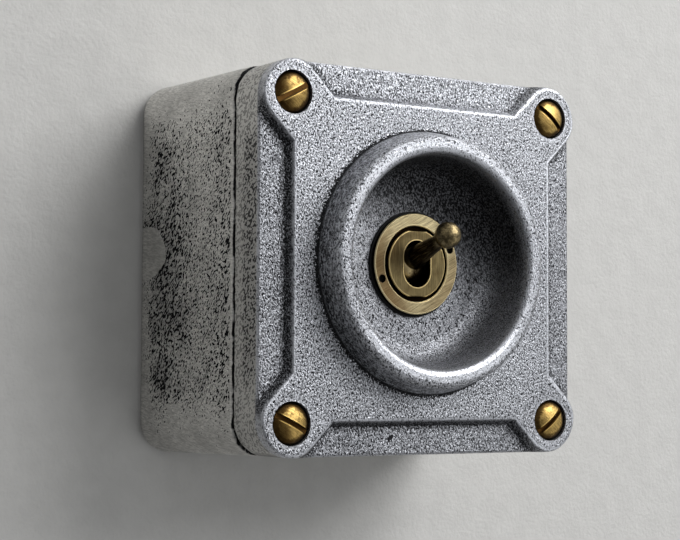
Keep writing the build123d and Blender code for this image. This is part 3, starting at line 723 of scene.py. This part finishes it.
def screw_finish(settings):
    """Golden screw heads, brown on their shoulders as patina and painted shade, and in their slots, with
    painted shade on their left and painted highlights along the slot edges.
    """
    finish = Finish("cover_screw")
    brass, patina = settings.screw_colour, settings.patina_colour
    gap, rise, reach = (finish.attribute(name) * MM for name in ("slot_gap", "head_rise", "head_reach"))
    x, _, z = finish.axes()
    aside = x - finish.calc("SIGN", x) * SCREW_HALF
    above = z - finish.calc("SIGN", z) * SCREW_HALF
    cloud = finish.noise(1.3, detail=4.0, rough=0.6)
    scratch = finish.noise((3.0, 0.5, 0.10), turn_deg=(0.0, 35.0, 0.0), detail=3.0)
    flecks = finish.noise(0.35, detail=2.0).rise(0.64, 0.72)
    in_slot = gap.fall(0.58, 0.66) * rise.fall(SCREW_HEAD_TOTAL - 0.75, SCREW_HEAD_TOTAL - 0.45)
    # Painted highlight along both edges of each slot
    slot_edge = gap.band(0.66, 0.82, 0.08) * reach.fall(2.8, 3.8)
    # Patina and painted shade on the shoulder of each head
    at_rim = (reach + (cloud - 0.5) * 1.6).rise(2.8, 3.7)
    on_left = x.fall(-1.0, 1.0)
    # Painted shade on the left of each head, heavier on the left screws
    painted_left_shade = (aside + above * 0.3 + (cloud - 0.5) * 3.0).fall(-2.4, -0.2) * (on_left * 0.32 + 0.50)
    gold = finish.blend(scratch.rise(0.36, 0.66), scaled(brass, 0.85), scaled(brass, 1.70))
    # Random tarnish, and painted shade on the left screws, most on the top left one
    tarnish_and_left_shade = cloud.rise(0.44, 0.66) * 0.45 + on_left * (z.rise(-1.0, 1.0) * 0.18 + 0.16)
    aged = finish.blend(tarnish_and_left_shade, gold, scaled(patina, 2.0))
    # Patina and painted shade on the shoulders, and painted shade on the left of each head
    wear_and_painted_light = finish.blend((at_rim * 0.90).most(painted_left_shade), aged, scaled(patina, 1.2))
    flecked = finish.blend(flecks * 0.7, wear_and_painted_light, patina)
    slot_edge_highlighted = finish.blend(slot_edge * 0.65, flecked, scaled(brass, 1.9))
    colour = finish.blend(in_slot * 0.92, slot_edge_highlighted, scaled(patina, 1.5))
    finish.bump(scratch * 0.035 + cloud * 0.06 - flecks * 0.03)
    return finish.set(base_color=colour, metallic=1.0, roughness=0.30 + cloud * 0.20)


def seal_finish(name, colour):
    """Matt black sheet with a little dust."""
    finish = Finish(name)
    dust = finish.noise(0.9, detail=3.0)
    shade = finish.blend(dust.rise(0.45, 0.80) * 0.6, colour, scaled(colour, 6.0))
    finish.bump(finish.noise(0.35, detail=2.0) * 0.04)
    return finish.set(base_color=shade, roughness=0.72 + dust * 0.20, specular_ior_level=0.25)


def moulding_finish():
    """Dark brown phenolic moulding with a faint mottle."""
    finish = Finish("phenolic_moulding")
    mottle = finish.noise(3.2, detail=4.0, warp=1.2)
    colour = finish.blend(mottle.rise(0.40, 0.70), MOULDING_DARK, MOULDING_PALE)
    finish.bump(finish.noise(0.5, detail=2.0) * 0.03)
    return finish.set(base_color=colour, roughness=0.34 + mottle * 0.18)


def plated_finish(name, colour, spot):
    """Plain inner metal with rolling marks and small dull spots."""
    finish = Finish(name)
    marks = finish.noise((0.14, 4.0, 0.14), detail=2.0)
    spots = finish.noise(1.6, detail=3.0)
    metal = finish.blend(marks.rise(0.36, 0.66), scaled(colour, 0.80), scaled(colour, 1.12))
    shade = finish.blend(spots.rise(0.55, 0.80) * 0.6, metal, spot)
    finish.bump(marks * 0.02 + spots * 0.03)
    return finish.set(base_color=shade, metallic=1.0, roughness=0.28 + spots * 0.25)


class Shape(Tree):
    """A Geometry Nodes tree whose sizes are named inputs."""

    def __init__(self, name, **sizes):
        super().__init__(bpy.data.node_groups.new(name, "GeometryNodeTree"))
        interface = self.tree.interface
        interface.new_socket("Geometry", in_out="OUTPUT", socket_type="NodeSocketGeometry")
        interface.new_socket("Geometry", in_out="INPUT", socket_type="NodeSocketGeometry")
        self.values = {}
        for label, value in sizes.items():
            kind = "NodeSocketMaterial" if isinstance(value, bpy.types.Material) else "NodeSocketFloat"
            title = label.replace("_", " ").title()
            socket = interface.new_socket(title, in_out="INPUT", socket_type=kind)
            self.values[socket.identifier] = value
        self.given = {socket.name: Field(self, socket) for socket in self.add("NodeGroupInput").outputs}

    def spot(self):
        """Fields x, y and z of each point."""
        return self.split(self.add("GeometryNodeInputPosition").outputs[0])

    def joined(self, *shapes):
        """Several shapes as one."""
        node = self.add("GeometryNodeJoinGeometry")
        for shape in shapes:
            self.feed(node.inputs[0], shape)
        return node.outputs[0]

    def moved(self, shape, place, turn=(0.0, 0.0, 0.0)):
        """A shape turned and put at a place."""
        values = {"Geometry": shape, "Translation": place, "Rotation": turn}
        return self.add("GeometryNodeTransform", values).outputs[0]

    def stored(self, shape, name, value):
        """A shape with a number kept on its points under a name."""
        values = {"Geometry": shape, "Name": name, "Value": value}
        node = self.add("GeometryNodeStoreNamedAttribute", values, data_type="FLOAT", domain="POINT")
        return node.outputs[0]

    def thread(self, radius, height, turns, crest):
        """A thread ridge that winds up the Z axis."""
        path = self.add("GeometryNodeCurveSpiral", {
            "Resolution": STEPS_PER_TURN, "Rotations": turns, "Height": height,
            "Start Radius": radius, "End Radius": radius})
        ridge = self.add("GeometryNodeCurvePrimitiveCircle", {
            "Resolution": RIDGE_SIDES, "Radius": crest}, mode="RADIUS")
        values = {"Curve": path.outputs[0], "Profile Curve": ridge.outputs[0], "Fill Caps": True}
        return self.add("GeometryNodeCurveToMesh", values).outputs[0]

    def finish(self, shape):
        """End the tree with real geometry in its finish."""
        real = self.add("GeometryNodeRealizeInstances", {"Geometry": shape}).outputs[0]
        painted = self.add("GeometryNodeSetMaterial", {"Geometry": real, "Material": self.given["Material"]})
        self.add("NodeGroupOutput", {0: painted.outputs[0]})

    def make(self, name, seeds, smooth_deg):
        """A plain mesh object, made by the tree from a mesh of seed points."""
        piece = linked(name, seeds)
        modifier = piece.modifiers.new(name, "NODES")
        modifier.node_group = self.tree
        for identifier, value in self.values.items():
            modifier[identifier] = value
        graph = bpy.context.evaluated_depsgraph_get()
        mesh = bpy.data.meshes.new_from_object(piece.evaluated_get(graph))
        piece.modifiers.clear()
        piece.data = mesh
        if not mesh.polygons:
            raise RuntimeError(f"{name} came out empty")
        mesh.shade_smooth()
        mesh.set_sharp_from_angle(angle=radians(smooth_deg))
        return piece


def linked(name, data):
    """A new object in the scene."""
    piece = bpy.data.objects.new(name, data)
    bpy.context.scene.collection.objects.link(piece)
    return piece


def screw_head(shape):
    """Crowned head on the seat plane with a slot across it."""
    radius, height = shape.given["Head Radius"], shape.given["Head Height"]
    round_steps, dome_steps, merge_gap = 64, 20, 5e-6
    crown, shoulder = 1.8, 4.8
    grid = shape.add("GeometryNodeMeshGrid", {
        "Size X": 1.0, "Size Y": 1.0, "Vertices X": dome_steps, "Vertices Y": round_steps + 1})
    down, around, _ = shape.spot()
    lean = (down + 0.5) * (pi / 2)
    turn = (around + 0.5) * (2 * pi)
    reach = shape.calc("POWER", shape.calc("SINE", lean), 2 / crown) * radius
    rise = shape.calc("POWER", shape.calc("COSINE", lean).most(0.0), 2 / shoulder) * height
    place = shape.vector(reach * shape.calc("COSINE", turn), rise * -1.0, reach * shape.calc("SINE", turn))
    dome = shape.add("GeometryNodeSetPosition", {"Geometry": grid.outputs[0], "Position": place}).outputs[0]
    seat = shape.add("GeometryNodeMeshCircle", {"Vertices": round_steps, "Radius": radius}, fill_type="NGON")
    underside = shape.moved(seat.outputs[0], (0.0, 0.0, 0.0), (-pi / 2, 0.0, 0.0))
    head = shape.add("GeometryNodeMergeByDistance", {
        "Geometry": shape.joined(dome, underside), "Distance": merge_gap}).outputs[0]
    slot_size = shape.vector(radius * 3.0, shape.given["Slot Depth"] * 2.0, shape.given["Slot Width"])
    cutter = shape.add("GeometryNodeMeshCube", {"Size": slot_size}).outputs[0]
    cutter = shape.moved(cutter, shape.vector(0.0, height * -1.0, 0.0))
    cut = {"operation": "DIFFERENCE", "solver": "MANIFOLD"}
    return shape.add("GeometryNodeMeshBoolean", {0: head, 1: cutter}, **cut).outputs[0]


def screw_shank(shape):
    """Bar behind the seat plane and the thread on it."""
    length, pitch = shape.given["Shank Length"], shape.given["Thread Pitch"]
    sides, threaded_share = 32, 0.9
    crest = pitch * 0.5
    root = shape.given["Shank Radius"] - crest
    bar = shape.add("GeometryNodeMeshCylinder", {"Vertices": sides, "Radius": root, "Depth": length})
    bar = shape.moved(bar.outputs[0], shape.vector(0.0, length * 0.5, 0.0), (pi / 2, 0.0, 0.0))
    run = length * threaded_share
    ridge = shape.thread(root, run, shape.calc("DIVIDE", run, pitch), crest)
    return shape.joined(bar, shape.moved(ridge, (0.0, 0.0, 0.0), (-pi / 2, 0.0, 0.0)))


def screw_shape(settings, material):
    """Slotted screws at the seed points, each turned as its point says."""
    shape = Shape("slotted_screws", head_radius=settings.head_radius, head_height=settings.head_height,
                  slot_width=settings.slot_width, slot_depth=settings.slot_depth,
                  shank_radius=settings.shank_radius, shank_length=SCREW_SHANK_LENGTH / MM,
                  thread_pitch=settings.thread_pitch, material=material)
    screw = shape.joined(screw_head(shape), screw_shank(shape))
    x, y, z = shape.spot()
    flat = shape.add("ShaderNodeVectorMath", {0: shape.vector(x, 0.0, z)}, operation="LENGTH")
    for name, value in (("slot_gap", abs(z)), ("head_rise", y * -1.0), ("head_reach", flat.outputs["Value"])):
        screw = shape.stored(screw, name, value)
    turn = shape.add("GeometryNodeInputNamedAttribute", {"Name": "slot_turn"}, data_type="FLOAT").outputs[0]
    placed = shape.add("GeometryNodeInstanceOnPoints", {
        "Points": shape.given["Geometry"], "Instance": screw,
        "Rotation": shape.vector(0.0, Field(shape, turn) * -1.0, 0.0)})
    shape.finish(placed.outputs[0])
    return shape


def seed_points(name, places):
    """A mesh of loose points."""
    mesh = bpy.data.meshes.new(name)
    mesh.from_pydata(places, [], [])
    return mesh


class SWITCH_OT_castings(bpy.types.Operator):
    """Finish the cast box and the cast cover"""

    bl_idname = "switch.castings"
    bl_label = "Castings"

    def execute(self, context):
        settings = context.scene.switch_casting
        paint(cast_box_finish(settings), "back_box")
        paint(cast_cover_finish(settings), "cover_plate")
        return {"FINISHED"}


class SWITCH_OT_brass(bpy.types.Operator):
    """Finish the ring nut, the bush and the lever"""

    bl_idname = "switch.brass"
    bl_label = "Nut, bush and lever"

    def execute(self, context):
        settings = context.scene.switch_brass
        paint(ring_nut_finish(settings), "ring_nut")
        paint(bush_finish(settings), "switch_bush")
        paint(lever_finish(settings), "toggle_lever")
        return {"FINISHED"}


class SWITCH_OT_cover_screws(bpy.types.Operator):
    """Make the four slotted cover screws"""

    bl_idname = "switch.cover_screws"
    bl_label = "Cover screws"

    def execute(self, context):
        settings = context.scene.switch_screws
        half, seat = SCREW_HALF / MM, -SCREW_SEAT_HEIGHT / MM
        seeds = seed_points("screw_seats", [(x, seat, z) for x in (-half, half) for z in (-half, half)])
        turns = seeds.attributes.new("slot_turn", "FLOAT", "POINT")
        turns.data.foreach_set("value", list(settings.slot_turns))
        shape = screw_shape(settings, screw_finish(context.scene.switch_brass))
        screws = shape.make("cover_screws_made", seeds, smooth_deg=30.0)
        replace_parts(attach(screws, "housing"), "cover_screws")
        return {"FINISHED"}


class SWITCH_OT_entry_thread(bpy.types.Operator):
    """Wind a thread into the conduit entry"""

    bl_idname = "switch.entry_thread"
    bl_label = "Conduit thread"

    def execute(self, context):
        settings = context.scene.switch_entry
        box_low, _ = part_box("back_box")
        shape = Shape("conduit_thread", core_radius=settings.core_radius, thread_pitch=settings.thread_pitch,
                      crest=settings.crest, length=settings.length,
                      material=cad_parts["back_box"].active_material)
        given = shape.given
        turns = shape.calc("DIVIDE", given["Length"], given["Thread Pitch"])
        ridge = shape.thread(given["Core Radius"], given["Length"], turns, given["Crest"])
        middle = (box_low.y - BOX_BACK / MM) / 2
        foot = COVER_HALF / MM - settings.length - settings.crest
        shape.finish(shape.moved(ridge, (0.0, middle, foot)))
        thread = shape.make("conduit_thread", seed_points("thread_seed", []), smooth_deg=40.0)
        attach(thread, "housing")
        return {"FINISHED"}


class SWITCH_OT_seals(bpy.types.Operator):
    """Finish the gasket and the nut washer"""

    bl_idname = "switch.seals"
    bl_label = "Gasket and washer"

    def execute(self, context):
        paint(seal_finish("gasket_sheet", GASKET_BLACK), "cover_gasket")
        paint(seal_finish("fibre_washer", WASHER_BLACK), "nut_washer")
        return {"FINISHED"}


class SWITCH_OT_inner_works(bpy.types.Operator):
    """Finish the pieces inside the box"""

    bl_idname = "switch.inner_works"
    bl_label = "Inner works"

    def execute(self, context):
        paint(moulding_finish(), "switch_housing", "terminal_base")
        for name, (colour, spot, nodes) in INNER_METALS.items():
            paint(plated_finish(name, colour, spot), *nodes)
        return {"FINISHED"}


def wall_finish(settings):
    """Painted plaster that is seen only from its front."""
    finish = Finish("painted_wall")
    rough = finish.noise(1.1, detail=4.0, rough=0.6)
    roller = finish.noise(6.0, detail=3.0)
    paint_colour = settings.wall_colour
    colour = finish.blend(roller.rise(0.3, 0.7), scaled(paint_colour, 0.97), scaled(paint_colour, 1.02))
    finish.bump(rough * 0.17 + roller * 0.16)
    finish.set(base_color=colour, roughness=0.85)
    behind = finish.add("ShaderNodeNewGeometry").outputs["Backfacing"]
    clear = finish.add("ShaderNodeBsdfTransparent").outputs[0]
    one_way = finish.add("ShaderNodeMixShader", {0: behind, 1: finish.shader.outputs[0], 2: clear})
    finish.feed(finish.output.inputs["Surface"], one_way.outputs[0])
    return finish.material


def make_wall(material):
    """Wall with a rounded window where the box covers it."""
    straight = COVER_HALF - WINDOW_LAP - CORNER_RADIUS
    outline = []
    for quarter, (right, up) in enumerate(((1, 1), (-1, 1), (-1, -1), (1, -1))):
        for step in range(CORNER_STEPS + 1):
            angle = (quarter + step / CORNER_STEPS) * pi / 2
            x = right * straight + CORNER_RADIUS * cos(angle)
            z = up * straight + CORNER_RADIUS * sin(angle)
            outline.append((x, z))
    mesh = bpy.data.meshes.new("wall")
    shape = bmesh.new()
    inner = [shape.verts.new((x / MM, WALL_GAP, z / MM)) for x, z in outline]
    outer = [shape.verts.new((x * WALL_GROWTH / MM, WALL_GAP, z * WALL_GROWTH / MM)) for x, z in outline]
    for first in range(len(outline)):
        second = (first + 1) % len(outline)
        shape.faces.new((outer[first], outer[second], inner[second], inner[first]))
    shape.to_mesh(mesh)
    shape.free()
    mesh.materials.append(material)
    wall = linked("wall", mesh)


def make_lamp(name, power, size, place, aim):
    """Square soft lamp that points at a place."""
    light = bpy.data.lights.new(name, "AREA")
    light.energy = power
    light.size = size
    lamp = linked(name, light)
    lamp.location = place
    lamp.rotation_euler = (aim - place).to_track_quat("-Z", "Y").to_euler()


def make_room(settings):
    """Soft room light, brighter up on the right and behind the wall; an even pale room behind everything."""
    world = bpy.data.worlds.new("room")
    world.use_nodes = True
    room = Tree(world.node_tree)
    direction = room.add("ShaderNodeTexCoord").outputs["Generated"]
    towards = []
    for way in (BRIGHT_WAY, REAR_WAY):
        values = {0: direction, 1: Vector(way).normalized()}
        node = room.add("ShaderNodeVectorMath", values, operation="DOT_PRODUCT")
        towards.append(Field(room, node.outputs["Value"]))
    gain = settings.bright_side - settings.dark_side
    front = towards[0].rise(*BRIGHT_SPREAD) * gain + settings.dark_side
    level = front.most(towards[1].rise(*REAR_SPREAD) * settings.rear)
    rays = room.add("ShaderNodeLightPath").outputs
    seen = room.calc("MAXIMUM", rays["Is Camera Ray"], rays["Is Transmission Ray"])
    strength = room.add("ShaderNodeMix", {"Factor": seen, "A": level, "B": settings.backdrop})
    background = world.node_tree.nodes["Background"].inputs
    room.feed(background["Strength"], strength.outputs[0])
    room.feed(background["Color"], ROOM_TINT)
    bpy.context.scene.world = world


def make_camera(settings):
    """Camera at the left of the switch, a little below its middle."""
    data = bpy.data.cameras.new("camera")
    data.lens = settings.lens
    data.sensor_width = SENSOR_WIDTH
    data.clip_start = 0.01
    camera = linked("camera", data)
    camera.location = CAMERA_PLACE
    camera.rotation_euler = Euler([radians(angle) for angle in CAMERA_TURN_DEG])
    bpy.context.scene.camera = camera


class SWITCH_OT_stage(bpy.types.Operator):
    """Make the wall, the lamps, the room light and the camera"""

    bl_idname = "switch.stage"
    bl_label = "Stage"

    def execute(self, context):
        settings = context.scene.switch_stage
        context.scene.view_settings.view_transform = "Standard"
        make_wall(wall_finish(settings))
        for name, (width, offset) in LAMPS.items():
            make_lamp(name, getattr(settings, f"{name}_power"), width, LAMP_AIM + Vector(offset), LAMP_AIM)
        make_room(settings)
        make_camera(settings)
        return {"FINISHED"}


class SWITCH_PT_dresser(bpy.types.Panel):
    """Lists the dressing steps and their settings"""

    bl_idname = "SWITCH_PT_dresser"
    bl_label = "Conduit switch"
    bl_space_type = "VIEW_3D"
    bl_region_type = "UI"
    bl_category = "Switch"

    def draw(self, context):
        for operator in OPERATORS:
            self.layout.operator(operator.bl_idname)
        for name, group in SETTINGS.items():
            for setting in group.__annotations__:
                self.layout.prop(getattr(context.scene, name), setting)


OPERATORS = (SWITCH_OT_castings, SWITCH_OT_brass, SWITCH_OT_cover_screws, SWITCH_OT_entry_thread,
             SWITCH_OT_seals, SWITCH_OT_inner_works, SWITCH_OT_stage)
SETTINGS = {"switch_casting": CastingSettings, "switch_brass": BrassSettings, "switch_screws": ScrewSettings,
            "switch_entry": EntrySettings, "switch_stage": StageSettings}


def register():
    """Add the settings, the operators and the panel."""
    for name, group in SETTINGS.items():
        bpy.utils.register_class(group)
        setattr(bpy.types.Scene, name, PointerProperty(type=group))
    for operator in OPERATORS:
        bpy.utils.register_class(operator)
    bpy.utils.register_class(SWITCH_PT_dresser)


def unregister():
    """Take them away again."""
    bpy.utils.unregister_class(SWITCH_PT_dresser)
    for operator in reversed(OPERATORS):
        bpy.utils.unregister_class(operator)
    for name, group in SETTINGS.items():
        delattr(bpy.types.Scene, name)
        bpy.utils.unregister_class(group)


def main():
    """Dress the switch."""
    register()
    bpy.ops.switch.castings()
    bpy.ops.switch.brass()
    bpy.ops.switch.cover_screws()
    bpy.ops.switch.entry_thread()
    bpy.ops.switch.seals()
    bpy.ops.switch.inner_works()
    bpy.ops.switch.stage()


if __name__ == "__main__":
    main()
